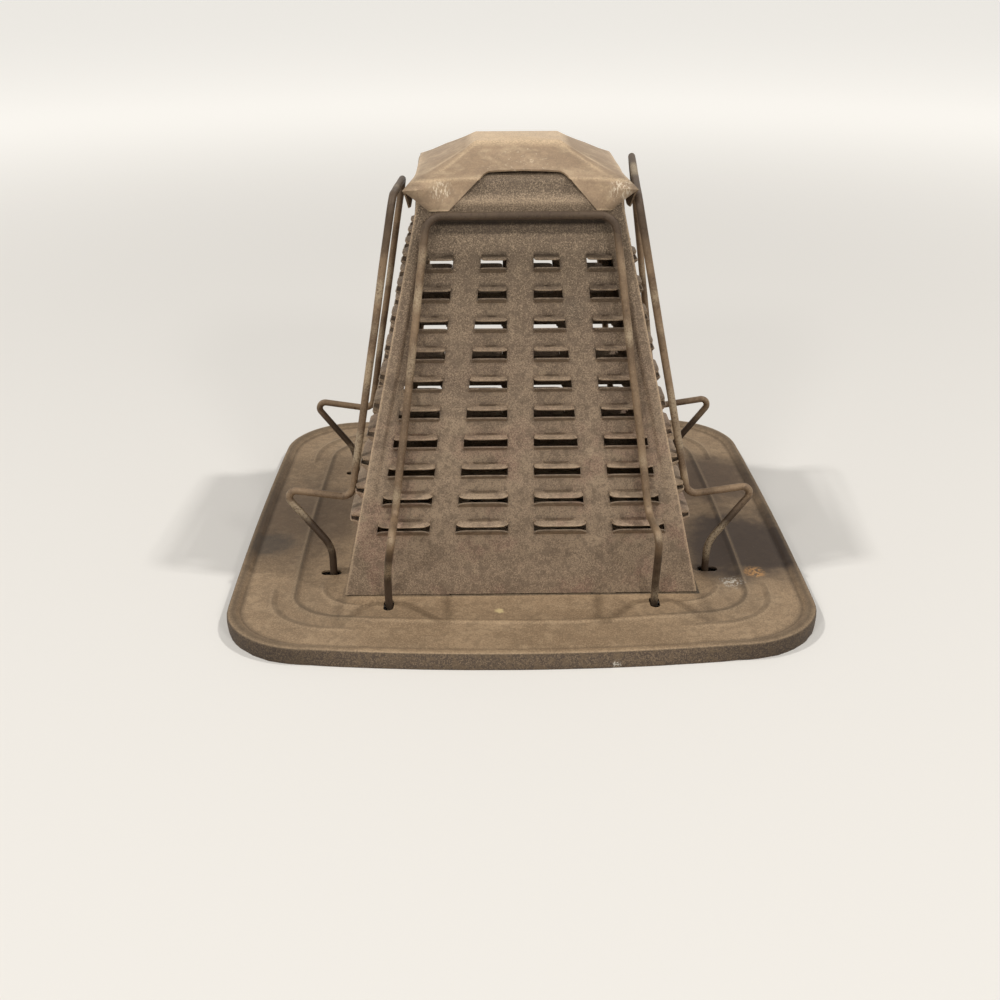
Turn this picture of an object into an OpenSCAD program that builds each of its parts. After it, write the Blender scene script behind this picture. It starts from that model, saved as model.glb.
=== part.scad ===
// Stovetop bread toaster: a pressed pan, a pyramid of four slotted walls, a
// folded cap and four bent wire racks that swing out on their turned feet.
// The pan stands on z = 0 with its middle at the origin. The wall seen first
// faces -Y, and all sizes are in millimetres.

/* [View] */
// Which piece to show

/* [Base pan] */
// Width and depth of the pan over its rim
pan_size = 210; // [205:260]
// Plan radius of the pan's corners
pan_corner = 31; // [20:45]
// Height of the rim's crown above the table
pan_height = 6.2; // [5:12]
// Thickness of the pan's sheet
pan_sheet = 0.7; // [0.4:0.1:1.2]
// How far the plate lies below the rim's crown
rim_drop = 1.2; // [0.6:0.1:2.5]
// Width of the raised rim
rim_width = 4.5; // [3:8]
// Height of the pressed beads above the plate
bead_height = 0.6; // [0.3:0.1:1]
// Distance of the middle bead's centre line from the pan's edge
bead_mid_in = 22.5; // [18:26]
// Distance of the outer corner beads from the pan's edge
bead_outer_in = 15; // [11:17]
// Distance of the inner corner beads from the pan's edge
bead_inner_in = 33; // [30:36]
// How far from the pan's edge the corner beads begin
bead_corner_in = 48; // [44:52]
// Width of a bead
bead_width = 2.6; // [1.5:0.1:4]
// Diameter of the heat holes under the pyramid
heat_hole_d = 5.5; // [4:0.5:8]
// Spacing of the heat holes
heat_hole_pitch = 11; // [9:16]
// Plain margin between the heat holes and the walls
heat_margin = 12; // [8:30]

/* [Pyramid] */
// Width of the pyramid over its walls at the plate
pyramid_base = 127; // [118:155]
// Inward lean of the walls, in degrees
lean = 12.2; // [9:0.1:15]
// How far the walls' main edge lies below the cap's fold
wall_below_fold = 1.2; // [1:0.1:3]
// How far the middle tongue stands above that edge
tongue_rise = 2.4; // [0:0.1:4]
// Plain gap beside the tongue, inside the cap's notch
tongue_gap = 2.7; // [1:0.1:5]
// Thickness of the wall sheet
wall_sheet = 0.6; // [0.4:0.1:1]
// Gap between a wall's bottom edge and the plate
wall_gap = 0.4; // [0.2:0.1:1]
// Depth of the pressed field below the margins
field_drop = 1.5; // [0.8:0.1:2.5]
// Width of the margins beside the field
field_margin = 4.2; // [3:7]
// Distance of the field's top edge below the walls' main edge
field_head = 12; // [11:16]
// Height of the field's bottom edge above the plate
field_bottom = 9; // [5:20]
// Width of a wall's tab through the plate
tab_width = 8; // [5:12]
// Distance of each tab from the wall's middle
tab_offset = 30; // [15:50]

/* [Slots] */
// Least plain field above the highest row of slots
slot_head = 14; // [8:20]
// Height of the lowest row above the plate
slot_first = 24.7; // [18:40]
// Rise from one row to the next
slot_pitch = 9.95; // [8:14]
// Half width of the middle rib
rib_half = 4.6; // [3:8]
// Width of the other ribs
rib_side = 9.3; // [6:14]
// Plain sheet from the last slot to the wall's edge
slot_margin = 7.3; // [6:12]
// Half height of the open slit
slit_half = 0.9; // [0.5:0.1:2]
// Half height of a slot with its two lips
lip_reach = 3; // [2:0.1:4]
// How far the lips stand out of the field
lip_rise = 3.2; // [0.8:0.1:3.4]

/* [Cap] */
// Height of the cap's edge fold above the plate
cap_fold = 141.5; // [116:172]
// Height of the cap's flat top above the fold
cap_rise = 9; // [4:16]
// Half width of the flat top
cap_flat = 14.1; // [8:24]
// Depth of the cap's side flaps below the fold
flap_depth = 10.1; // [6:14]
// Thickness of the cap's sheet
cap_sheet = 0.8; // [0.5:0.1:1.2]
// Air between the cap and the walls
cap_gap = 0.15; // [0.05:0.05:0.5]
// Width of a flap beside the notch, along its lower edge
flap_low_width = 11.56; // [9:16]
// Width of a flap beside the notch, along its fold
flap_high_width = 20.68; // [17:22]
// How far the notch runs in over the fold
notch_in = 3.4; // [0:0.1:6]
// How far the corner ears stand out past the walls' corner
ear_reach = 5.2; // [3:8]
// Length cut off each flap's lower edge, beside its ear
ear_cut = 5; // [3:8]

/* [Racks] */
// Thickness of the rack wire
wire_d = 2.7; // [2:0.1:4]
// Gap between a rack's foot and the foot of the wall
foot_gap = 4.45; // [3.5:0.05:8]
// Foot spacing of the front and back racks, half
foot_half_front = 47.2; // [40:55]
// Foot spacing of the side racks, half
foot_half_side = 45.8; // [40:55]
// Length of a turned foot under the plate
foot_turn = 9; // [6:20]
// Height of the bend in the upright over the plate
knee_rise = 11; // [8:16]
// Gap between the ledge's inner bend and the wall
ledge_gap = 2.75; // [1.5:0.05:5]
// Height of the ledge's inner bend over the plate
ledge_rise = 30.5; // [26:40]
// Length of the bread ledge to its pointed end
ledge_reach = 25.8; // [20:27]
// Upward tilt of the ledge, in degrees
ledge_tilt = 8.6; // [0:15]
// Half spacing of the front and back ledges
ledge_half_front = 43.8; // [38:50]
// Half spacing of the side ledges
ledge_half_side = 45; // [38:50]
// How far the front and back legs stand inside the wall's corner at the top bar
top_inset_front = 4.48; // [3:8]
// How far the side legs stand inside the ears' tips at the top bar
top_inset_side = 0.86; // [0:0.02:3]
// Gap between the front racks' top bar and the wall, which clears the lips
bar_gap = 1.75; // [0.5:0.05:4]
// Height of the side racks' top bar above the front racks'
side_extra = 7.3; // [0:12]
// Air between a resting rack and what it leans on
rest_gap = 0.3; // [0.25:0.05:1]
// Outward swing of a rack, in degrees
swing = 45; // [20:50]

/* [Hidden] */
$fn = 48;
eps = 0.01;
// Each bend and run ends this far inside the collar that joins them.
joint_slack = 0.08;
collar_half = 0.22;
plate_top = pan_height - rim_drop;
plate_under = plate_top - pan_sheet;
wire_r = wire_d / 2;
wall_foot = plate_top + wall_gap;
bead_mid = pan_size / 2 - bead_mid_in;
bead_outer = pan_size / 2 - bead_outer_in;
bead_inner = pan_size / 2 - bead_inner_in;
bead_from = pan_size / 2 - bead_corner_in;
wall_rise = cap_fold - wall_below_fold;
field_top = wall_rise - field_head;
slot_rows = floor((field_top - slot_head - slot_first) / slot_pitch + 0.001) + 1;
// The walls' outer faces meet the plate at half the base width.
function wall_half(z) = pyramid_base / 2 - (z - plate_top) * tan(lean);
// Distance along the slope of a height above the plate
function slope_at(h) = (h - wall_gap) / cos(lean);
// Half width of a wall at a distance along the slope
function half_at(v) = wall_half(wall_foot) - v * sin(lean);
foot_radius = pyramid_base / 2 + wire_r + foot_gap;
ledge_radius = wall_half(plate_top + ledge_rise) + wire_r + ledge_gap;
axis_z = plate_under - rest_gap - 0.1 - wire_r;
slot_half = wire_r + 0.95;
slot_in = wire_r + 1.5;
slot_out = (plate_top - axis_z) * tan(swing) + wire_r / cos(swing) + rest_gap;
// The slope of a lip, and the thickness that the sheet has across it
lip_slope = atan2(lip_rise, lip_reach - slit_half);
lip_sheet = wall_sheet / cos(lip_slope);
cap_fold_z = plate_top + cap_fold;
cap_low_z = cap_fold_z - flap_depth;
cap_out = (cap_gap + cap_sheet) / cos(lean);
cap_in = cap_gap / cos(lean);
notch_low = wall_half(cap_low_z) + cap_out - flap_low_width;
notch_high = wall_half(cap_fold_z) + cap_out - flap_high_width;
tongue_half = notch_high - tongue_gap;
bar_z_front = cap_low_z - rest_gap - 0.15 - wire_r;
bar_r_front = wall_half(bar_z_front) + (wire_r + bar_gap) / cos(lean);
bar_z_side = bar_z_front + side_extra;
ear_x = wall_half(cap_fold_z - 3.5) + ear_reach;
bar_r_side = ear_x + rest_gap + wire_r;
top_half_front = wall_half(bar_z_front) - top_inset_front;
top_half_side = ear_x - top_inset_side;
tan_colour = [0.62, 0.53, 0.43];
tin_colour = [0.47, 0.41, 0.35];
wire_colour = [0.40, 0.34, 0.28];

// A plate with rounded corners, from z0 up by h
module rounded(size, r, z0, h) {
  translate([-size / 2, -size / 2 + r, z0]) cube([size, size - 2 * r, h]);
  translate([-size / 2 + r, -size / 2, z0]) cube([size - 2 * r, size, h]);
  for (sx = [-1, 1], sy = [-1, 1])
    translate([sx * (size / 2 - r), sy * (size / 2 - r), z0]) cylinder(r = r, h = h);
}

// A raised bead that follows a rounded square
module bead(half, r) {
  difference() {
    rounded(2 * half + bead_width, r + bead_width / 2, plate_top - eps, bead_height + eps);
    rounded(2 * half - bead_width, r - bead_width / 2, plate_top - 1, bead_height + 2);
  }
}

// The same bead, kept at the four corners only
module corner_bead(half, r, from) {
  intersection() {
    bead(half, r);
    union() {
      for (sx = [-1, 1], sy = [-1, 1])
        translate([sx > 0 ? from : -from - 60, sy > 0 ? from : -from - 60, plate_top - 1]) cube([60, 60, 4]);
    }
  }
}

// The slot that one rack foot passes through
module foot_slot(half) {
  for (s = [-1, 1]) translate([s * half, 0, plate_under - 1]) {
    translate([0, -foot_radius - slot_out + slot_half, 0]) cylinder(r = slot_half, h = 4);
    translate([0, -foot_radius + slot_in - slot_half, 0]) cylinder(r = slot_half, h = 4);
    translate([-slot_half, -foot_radius - slot_out + slot_half, 0]) cube([2 * slot_half, slot_out + slot_in - 2 * slot_half, 4]);
  }
}

// The slots that a wall's two tabs pass through
module tab_slots() {
  for (s = [-1, 1])
    translate([s * tab_offset - tab_width / 2 - 0.3, -pyramid_base / 2 + 0.2, plate_under - 1]) cube([tab_width + 0.6, wall_sheet + 0.8, 4]);
}

module heat_holes() {
  span = pyramid_base - 2 * heat_margin;
  n = floor(span / heat_hole_pitch) + 1;
  for (i = [0 : n - 1], j = [0 : n - 1])
    translate([(i - (n - 1) / 2) * heat_hole_pitch, (j - (n - 1) / 2) * heat_hole_pitch, plate_under - 1])
      cylinder(d = heat_hole_d, h = 4, $fn = 24);
}

module base_plate() {
  color(tin_colour)
  difference() {
    union() {
      difference() {
        rounded(pan_size, pan_corner, 0, pan_height);
        rounded(pan_size - 2 * rim_width, pan_corner - rim_width, plate_top, rim_drop + 1);
        rounded(pan_size - 2 * pan_sheet, pan_corner - pan_sheet, -1, plate_under + 1);
      }
      bead(bead_mid, 17);
      corner_bead(bead_outer, 22, bead_from);
      corner_bead(bead_inner, 10, bead_from);
    }
    foot_slot(foot_half_front);
    rotate(180) foot_slot(foot_half_front);
    rotate(90) foot_slot(foot_half_side);
    rotate(270) foot_slot(foot_half_side);
    for (a = [0 : 90 : 270]) rotate(a) tab_slots();
    heat_holes();
  }
}

// A flat trapezoid that follows the wall's edges at an inset
module wall_outline(inset, v0, v1, n0, n1) {
  translate([0, 0, n0]) linear_extrude(n1 - n0)
    polygon([[-half_at(v0) + inset, v0], [half_at(v0) - inset, v0], [half_at(v1) - inset, v1], [-half_at(v1) + inset, v1]]);
}

// One lip of a slot: a strip of sheet that slopes out of the field
module lip(u0, u1, v, way) {
  translate([u0, v, -field_drop]) rotate([90, 0, 90]) linear_extrude(u1 - u0)
    polygon([
      [way * lip_reach, 0],
      [way * slit_half, lip_rise],
      [way * slit_half, lip_rise - lip_sheet],
      [way * (slit_half + (lip_rise - lip_sheet + wall_sheet) / tan(lip_slope)), -wall_sheet],
      [way * lip_reach, -wall_sheet]
    ]);
}

// The left and right ends of a slot, for column c (0 inner, 1 outer)
function slot_start(v, c) = c == 0 ? rib_half : (rib_half + half_at(v) - slot_margin - rib_side) / 2 + rib_side;
function slot_end(v, c) = c == 0 ? (rib_half + half_at(v) - slot_margin - rib_side) / 2 : half_at(v) - slot_margin;

// One stamped wall in its own plane: u across, v up the slope, n outward
module wall_sheet_flat() {
  v_low = slope_at(field_bottom);
  v_high = slope_at(field_top);
  v_top = slope_at(wall_rise);
  difference() {
    union() {
      difference() {
        wall_outline(-3, 0, v_top, -wall_sheet, 0);
        wall_outline(field_margin, v_low, v_high, -wall_sheet - 1, 1);
      }
      difference() {
        wall_outline(field_margin - wall_sheet, v_low - wall_sheet, v_high + wall_sheet, -field_drop - wall_sheet, 0);
        wall_outline(field_margin, v_low, v_high, -field_drop, 1);
      }
      translate([-tongue_half, v_top - eps, -wall_sheet]) cube([2 * tongue_half, tongue_rise / cos(lean), wall_sheet]);
    }
    for (row = [0 : slot_rows - 1]) {
      v = slope_at(slot_first + row * slot_pitch);
      for (c = [0, 1], side = [0, 1])
        translate([side == 0 ? slot_start(v, c) : -slot_end(v, c), v - lip_reach, -field_drop - wall_sheet - 1])
          cube([slot_end(v, c) - slot_start(v, c), 2 * lip_reach, wall_sheet + 2]);
    }
  }
  for (row = [0 : slot_rows - 1]) {
    v = slope_at(slot_first + row * slot_pitch);
    for (c = [0, 1], way = [-1, 1]) {
      lip(slot_start(v, c), slot_end(v, c), v, way);
      lip(-slot_end(v, c), -slot_start(v, c), v, way);
    }
  }
}

// The front wall: the flat sheet stood on the plate, mitred at its corners
module wall() {
  color(tin_colour) {
    intersection() {
      translate([0, -wall_half(wall_foot), wall_foot]) rotate([90 - lean, 0, 0]) wall_sheet_flat();
      translate([0, -0.06, 0]) linear_extrude(plate_top + wall_rise + 20) polygon([[0, 0], [-90, -90], [90, -90]]);
    }
    for (s = [-1, 1]) translate([s * tab_offset - tab_width / 2, -wall_half(wall_foot) + 0.15, 0]) {
      translate([0, 0, plate_under - 0.05 - wall_sheet]) cube([tab_width, wall_sheet, wall_foot + 0.3 + wall_sheet + 0.05 - plate_under]);
      translate([0, 0, plate_under - 0.05 - wall_sheet]) cube([tab_width, 4, wall_sheet]);
    }
  }
}

module wall_front() { wall(); }
module wall_back() { rotate(180) wall(); }
module wall_left() { rotate(270) wall(); }
module wall_right() { rotate(90) wall(); }

// A square frustum between two heights
module frustum(half0, half1, z0, z1) {
  translate([0, 0, z0]) rotate(45) cylinder(r1 = half0 * sqrt(2), r2 = half1 * sqrt(2), h = z1 - z0, $fn = 4);
}

// The notch in the front flap, running in over the fold
module cap_notch() {
  depth = wall_half(cap_fold_z) + cap_out - notch_in;
  translate([0, -depth, 0]) rotate([90, 0, 0]) linear_extrude(30)
    polygon([[-notch_low - 1.2, cap_low_z - 1], [notch_low + 1.2, cap_low_z - 1], [notch_high, cap_fold_z + 0.2], [notch_high - 1.5, cap_fold_z + 5], [-notch_high + 1.5, cap_fold_z + 5], [-notch_high, cap_fold_z + 0.2]]);
}

// The corner that is cut off each end of a flap, below its ear
module flap_chamfer() {
  edge = wall_half(cap_low_z) + cap_out;
  high = cap_fold_z - 4.2;
  for (s = [-1, 1]) translate([0, -edge + 4, 0]) rotate([90, 0, 0]) linear_extrude(8)
    polygon([[s * (edge - ear_cut), cap_low_z - 1], [s * (edge + 3), cap_low_z - 1], [s * (edge + 3), high + 0.6], [s * edge, high], [s * (edge - ear_cut), cap_low_z]]);
}

// One pinched ear, standing on the diagonal of a corner
module ear() {
  inner = (wall_half(cap_fold_z) + cap_in) * sqrt(2) + 0.5;
  tip = (ear_x - cap_sheet * sqrt(2) / 2) * sqrt(2);
  rotate([90, 0, 0]) translate([0, 0, -cap_sheet]) linear_extrude(2 * cap_sheet)
    polygon([[inner, cap_fold_z - 1.2], [tip, cap_fold_z - 3], [tip, cap_fold_z - 4.2], [inner + 1.2, cap_fold_z - 6.5], [inner, cap_fold_z - 6]]);
}

module cap() {
  roof_in = 1.0;
  color(tan_colour)
  difference() {
    union() {
      difference() {
        union() {
          frustum(wall_half(cap_low_z) + cap_out, wall_half(cap_fold_z) + cap_out, cap_low_z, cap_fold_z);
          frustum(wall_half(cap_fold_z) + cap_out, cap_flat, cap_fold_z, cap_fold_z + cap_rise);
        }
        frustum(wall_half(cap_low_z - 1) + cap_in, wall_half(cap_fold_z - roof_in) + cap_in, cap_low_z - 1, cap_fold_z - roof_in);
        frustum(wall_half(cap_fold_z - roof_in) + cap_in, cap_flat - 0.4, cap_fold_z - roof_in - eps, cap_fold_z + cap_rise - cap_sheet);
        for (a = [0 : 90 : 270]) rotate(a) flap_chamfer();
      }
      for (a = [45 : 90 : 315]) rotate(a) ear();
    }
    for (a = [0 : 90 : 270]) rotate(a) cap_notch();
  }
}

// Vector helpers for the bent wires
function unit(v) = v / norm(v);
function bend_angle(a, b, c) = acos(max(-1, min(1, unit(b - a) * unit(c - b))));
function bend_trim(a, b, c, r) = r * tan(bend_angle(a, b, c) / 2);

// A straight length of wire from a to b, held short of its joints
module wire_run(a, b, at_start, at_end) {
  d = unit(b - a);
  from = a + d * at_start;
  translate(from) rotate([0, acos(d[2]), atan2(d[1], d[0])]) cylinder(d = wire_d, h = norm(b - a) - at_start - at_end);
}

// The thin collar at p, across direction d, in which a run and a bend meet
module wire_collar(p, d) {
  translate(p - d * collar_half) rotate([0, acos(d[2]), atan2(d[1], d[0])]) cylinder(r = wire_r + 0.02, h = 2 * collar_half);
}

// A round bend of radius r at b, on the way from a to c, with its two joints
module wire_bend(a, b, c, r) {
  y = unit(b - a);
  f = unit(c - b);
  n = unit(f - (f * y) * y);
  x = -n;
  z = cross(x, y);
  start = b - y * bend_trim(a, b, c, r);
  o = start + n * r;
  slack = asin(joint_slack / r);
  multmatrix([[x[0], y[0], z[0], o[0]], [x[1], y[1], z[1], o[1]], [x[2], y[2], z[2], o[2]], [0, 0, 0, 1]])
    rotate([0, 0, slack]) rotate_extrude(angle = bend_angle(a, b, c) - 2 * slack) translate([r, 0]) circle(d = wire_d);
  wire_collar(start, y);
  wire_collar(b + f * bend_trim(a, b, c, r), f);
}

// A wire through a list of points, rounded at each inner one
module bent_wire(p, r) {
  last = len(p) - 1;
  for (i = [0 : last - 1])
    wire_run(i == 0 ? p[0] : p[i] + unit(p[i + 1] - p[i]) * bend_trim(p[i - 1], p[i], p[i + 1], r[i]),
      i == last - 1 ? p[last] : p[i + 1] - unit(p[i + 1] - p[i]) * bend_trim(p[i], p[i + 1], p[i + 2], r[i + 1]),
      i == 0 ? 0 : joint_slack, i == last - 1 ? 0 : joint_slack);
  for (i = [1 : last - 1]) wire_bend(p[i - 1], p[i], p[i + 1], r[i]);
}

// A rack that stands in front of the wall facing -Y
module rack(foot_half, ledge_half, top_half, top_radius, top_z) {
  tip = ledge_radius + ledge_reach;
  tip_z = plate_top + ledge_rise + ledge_reach * tan(ledge_tilt);
  tip_half = (foot_half + 2 * ledge_half) / 3;
  right = [
    [foot_half - foot_turn, -foot_radius, axis_z],
    [foot_half, -foot_radius, axis_z],
    [foot_half, -foot_radius, plate_top + knee_rise],
    [tip_half, -tip, tip_z],
    [ledge_half, -ledge_radius, plate_top + ledge_rise],
    [top_half, -top_radius, top_z]
  ];
  left = [for (i = [len(right) - 1 : -1 : 0]) [-right[i][0], right[i][1], right[i][2]]];
  radii = [0, 2.2, 14, 2.6, 4, 6];
  color(wire_colour)
    bent_wire(concat(right, left), concat(radii, [for (i = [len(radii) - 1 : -1 : 0]) radii[i]]));
}

module front_rack() { rack(foot_half_front, ledge_half_front, top_half_front, bar_r_front, bar_z_front); }
module side_rack() { rack(foot_half_side, ledge_half_side, top_half_side, bar_r_side, bar_z_side); }
module rack_front() { front_rack(); }
module rack_back() { rotate(180) front_rack(); }
module rack_left() { rotate(270) side_rack(); }
module rack_right() { rotate(90) side_rack(); }

base_plate();
wall_front();
wall_back();
wall_left();
wall_right();
cap();
rack_front();
rack_back();
rack_left();
rack_right();
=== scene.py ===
# %% [markdown]
# # A stovetop toaster in aged tinplate
#
# The object is a square pressed pan with a slotted pyramid on it, a folded cap
# on the pyramid and four bent wire racks that swing outwards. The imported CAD
# model is the frame: it fixes every size and place, and it carries the motion.
# This script replaces each plain CAD piece by the formed sheet or the drawn
# wire that the real one is, and gives each its worn finish.
#
# All shapes are worked out in millimetres and scaled to metres at the end.

# %% Frame and units
import math

import bmesh
import bpy
from mathutils import Matrix, Vector, noise


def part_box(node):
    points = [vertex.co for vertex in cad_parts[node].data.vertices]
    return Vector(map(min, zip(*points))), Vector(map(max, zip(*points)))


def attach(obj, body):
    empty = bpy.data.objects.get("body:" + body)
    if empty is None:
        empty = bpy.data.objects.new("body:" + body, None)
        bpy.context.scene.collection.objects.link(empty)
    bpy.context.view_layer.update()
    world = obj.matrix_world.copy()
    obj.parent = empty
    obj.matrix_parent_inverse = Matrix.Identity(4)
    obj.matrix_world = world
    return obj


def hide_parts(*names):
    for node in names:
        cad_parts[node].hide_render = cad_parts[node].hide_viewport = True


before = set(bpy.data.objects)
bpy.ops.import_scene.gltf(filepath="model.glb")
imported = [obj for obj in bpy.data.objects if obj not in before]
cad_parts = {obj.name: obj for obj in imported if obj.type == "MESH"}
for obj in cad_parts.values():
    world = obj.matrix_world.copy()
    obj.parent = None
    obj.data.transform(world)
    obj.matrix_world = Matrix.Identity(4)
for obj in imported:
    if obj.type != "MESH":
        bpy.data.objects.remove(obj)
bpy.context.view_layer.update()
scene = bpy.context.scene
scene.view_settings.view_transform = "Standard"
MM = 0.001


def mm_box(node):
    """The lowest and highest corners of a CAD node, in millimetres."""
    low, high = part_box(node)
    return low / MM, high / MM


def lerp(a, b, t):
    return a + (b - a) * t


def smooth_step(low, high, x):
    """0 below low, 1 above high, and an even S between them."""
    t = min(max((x - low) / (high - low), 0.0), 1.0)
    return t * t * (3 - 2 * t)


def fall(low, high, x):
    """1 below low, 0 above high, and an even S between them."""
    return 1 - smooth_step(low, high, x)


def hump(x, centre, width):
    """1 at the centre, falling to nearly 0 two widths away on both sides."""
    return math.exp(-((x - centre) / width) ** 2)


print("nodes in the frame:", sorted(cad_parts))

# %% [markdown]
# ## Shared sizes
#
# The pan gives the plate's height, and a wall's foot gives the pyramid's width.
# The lean and the sheet's thickness are the CAD's own values. The walls, the
# cap and the racks are all placed from these few numbers, so they fit each
# other as the CAD pieces do.

# %% Shared sizes
LEAN = math.radians(12.2)
SHEET = 0.5
pan_high = mm_box("base_plate")[1]
cap_low, cap_high = mm_box("cap")
PAN_HALF = pan_high.x
PLATE_TOP = 5.0
PLATE_SHEET = 0.7
WALL_GAP = 0.4
WALL_FOOT = PLATE_TOP + WALL_GAP
PYRAMID_HALF = 63.5
FOOT_HALF = PYRAMID_HALF - WALL_GAP * math.tan(LEAN)


def wall_half(z):
    """Half the width of the pyramid over its walls, at a height."""
    return FOOT_HALF - (z - WALL_FOOT) * math.tan(LEAN)


def slope_at(z):
    """Distance up the wall's slope of a height."""
    return (z - WALL_FOOT) / math.cos(LEAN)


def half_at(v):
    """Half the wall's width at a distance up its slope."""
    return FOOT_HALF - v * math.sin(LEAN)


print("pan", round(2 * PAN_HALF, 1), "mm wide, cap top at", round(cap_high.z, 1), "mm")

# %% [markdown]
# ## The camera
#
# The camera stands where the photograph was taken from: a little to the left
# of the middle, looking down at the pan at about 25 degrees. Its place is
# written in millimetres in the object's own frame, and its lens as a distance
# in pixels of a frame 1000 pixels wide.

# %% Camera
CAMERA_PLACE = Vector((-12.564, -434.304, 218.310))
CAMERA_PITCH = 0.4422835
CAMERA_YAW = -0.0136488
CAMERA_ROLL = 0.00407865
FOCAL_PIXELS = 1183.856
FRAME_PIXELS = 1000
SENSOR = 36.0


def add_camera():
    data = bpy.data.cameras.new("camera")
    data.sensor_width = SENSOR
    data.lens = SENSOR * FOCAL_PIXELS / FRAME_PIXELS
    camera = bpy.data.objects.new("camera", data)
    turn = (Matrix.Rotation(CAMERA_YAW, 3, "Z") @ Matrix.Rotation(-CAMERA_PITCH, 3, "X")
            @ Matrix.Rotation(CAMERA_ROLL, 3, "Y"))
    right, ahead, up = turn.col[0], turn.col[1], turn.col[2]
    view = Matrix((right, up, -ahead)).transposed().to_4x4()
    view.translation = CAMERA_PLACE * MM
    camera.matrix_world = view
    scene.collection.objects.link(camera)
    scene.camera = camera
    return camera


camera = add_camera()
print("camera lens", round(camera.data.lens, 2), "mm")

# %% [markdown]
# ## Shader arithmetic
#
# A finish is a sum of many small effects, such as grain, blotches and worn
# edges. Writing them as node links by hand is hard to read, so a small class
# wraps a node's output and turns Python's operators into Math nodes. One
# method makes any other node, and short ones on top of it make the marks that
# come back again and again: a cloud, a spot, a band, a side of the object.

# %% Sockets with operators
class Value:
    """A node's output that can be added, multiplied and compared in Python."""

    def __init__(self, paint, socket):
        self.paint = paint
        self.socket = socket

    def math(self, operation, *others):
        return self.paint.node("ShaderNodeMath", {"operation": operation}, [self, *others])

    def __add__(self, other):
        return self.math("ADD", other)

    def __mul__(self, other):
        return self.math("MULTIPLY", other)

    def __sub__(self, other):
        return self.math("SUBTRACT", other)

    def __rsub__(self, other):
        return self.paint.node("ShaderNodeMath", {"operation": "SUBTRACT"}, [other, self])

    __radd__ = __add__
    __rmul__ = __mul__

    def between(self, low, high):
        """0 below low, 1 above high, and a smooth rise between them."""
        settings = {"interpolation_type": "SMOOTHSTEP", "clamp": True}
        inputs = {"Value": self, "From Min": low, "From Max": high}
        return self.paint.node("ShaderNodeMapRange", settings, inputs)


class Tree:
    """A node tree, with one method for any node and short ones for the common few."""

    def __init__(self, tree):
        self.tree = tree

    def feed(self, socket, value):
        if isinstance(value, Value):
            self.tree.links.new(value.socket, socket)
        else:
            socket.default_value = value

    def node(self, kind, settings, inputs, output=0):
        """Any node: its settings first, then its sockets' values or links."""
        made = self.tree.nodes.new(kind)
        for name, value in settings.items():
            setattr(made, name, value)
        pairs = inputs.items() if isinstance(inputs, dict) else enumerate(inputs)
        for key, value in pairs:
            self.feed(made.inputs[key], value)
        return Value(self, made.outputs[output])

    def mix(self, factor, first, second):
        """A colour between two others."""
        return self.node("ShaderNodeMix", {"data_type": "RGBA"}, {0: factor, 6: first, 7: second}, 2)

    def seen(self):
        """1 for what the camera sees, straight or in metal and glass, and 0 for other light."""
        straight, mirrored, through = (self.node("ShaderNodeLightPath", {}, {}, kind)
                                       for kind in ("Is Camera Ray", "Is Glossy Ray", "Is Transmission Ray"))
        return (straight + mirrored + through).math("MINIMUM", 1.0)


class Paint(Tree):
    """One material's node tree."""

    def __init__(self, name):
        self.material = bpy.data.materials.new(name)
        self.material.use_nodes = True
        super().__init__(self.material.node_tree)
        self.shader = self.tree.nodes["Principled BSDF"]
        self.place = self.node("ShaderNodeTexCoord", {}, {}, "Object")

    def noise(self, size, detail=3.0, roughness=0.55, stretch=(1, 1, 1), shift=0.0):
        """Soft noise from 0 to 1 whose features are about size millimetres across."""
        scale = Vector(stretch) / (size * MM)
        inputs = {"Vector": self.place, "Location": (shift, shift, shift), "Scale": scale}
        moved = self.node("ShaderNodeMapping", {}, inputs)
        inputs = {"Vector": moved, "Scale": 1.0, "Detail": detail, "Roughness": roughness}
        return self.node("ShaderNodeTexNoise", {}, inputs)

    def coordinate(self, axis):
        return self.node("ShaderNodeSeparateXYZ", {}, {"Vector": self.place}, axis)

    def past(self, axis, low, high):
        """0 before one place on an axis and 1 beyond another, in millimetres."""
        return self.coordinate(axis).between(low * MM, high * MM)

    def spot(self, place, size):
        """1 at a place and 0 outside a ragged spot of about this size, in millimetres."""
        centre = tuple(part * MM for part in place)
        away = self.node("ShaderNodeVectorMath", {"operation": "DISTANCE"}, [self.place, centre], "Value")
        ragged = away + (self.noise(size * 0.4, 3.0, 0.6) - 0.5) * size * MM
        return 1 - ragged.between(0.4 * size * MM, size * MM)

    def square_band(self, low, high):
        """1 between two squares about the middle, given by half their widths in millimetres."""
        beside, ahead = (self.coordinate(axis).math("ABSOLUTE") for axis in "XY")
        away = beside.math("MAXIMUM", ahead)
        edge = 0.3 * MM
        return away.between(low * MM - edge, low * MM) * (1 - away.between(high * MM, high * MM + edge))

    def attribute(self, name):
        return self.node("ShaderNodeAttribute", {"attribute_name": name}, {}, "Fac")

    def bump(self, height, distance):
        inputs = {"Height": height, "Distance": distance * MM}
        self.feed(self.shader.inputs["Normal"], self.node("ShaderNodeBump", {}, inputs))

    def finish(self, colour, roughness, metallic):
        self.feed(self.shader.inputs["Base Color"], colour)
        self.feed(self.shader.inputs["Roughness"], roughness)
        self.feed(self.shader.inputs["Metallic"], metallic)
        return self.material


def colour(red, green, blue):
    """A colour written as it looks on a screen, 0 to 255, turned into light."""
    def light(level):
        level = level / 255
        return level / 12.92 if level <= 0.04045 else ((level + 0.055) / 1.055) ** 2.4
    return (light(red), light(green), light(blue), 1.0)


print("shader helpers ready")

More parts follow.
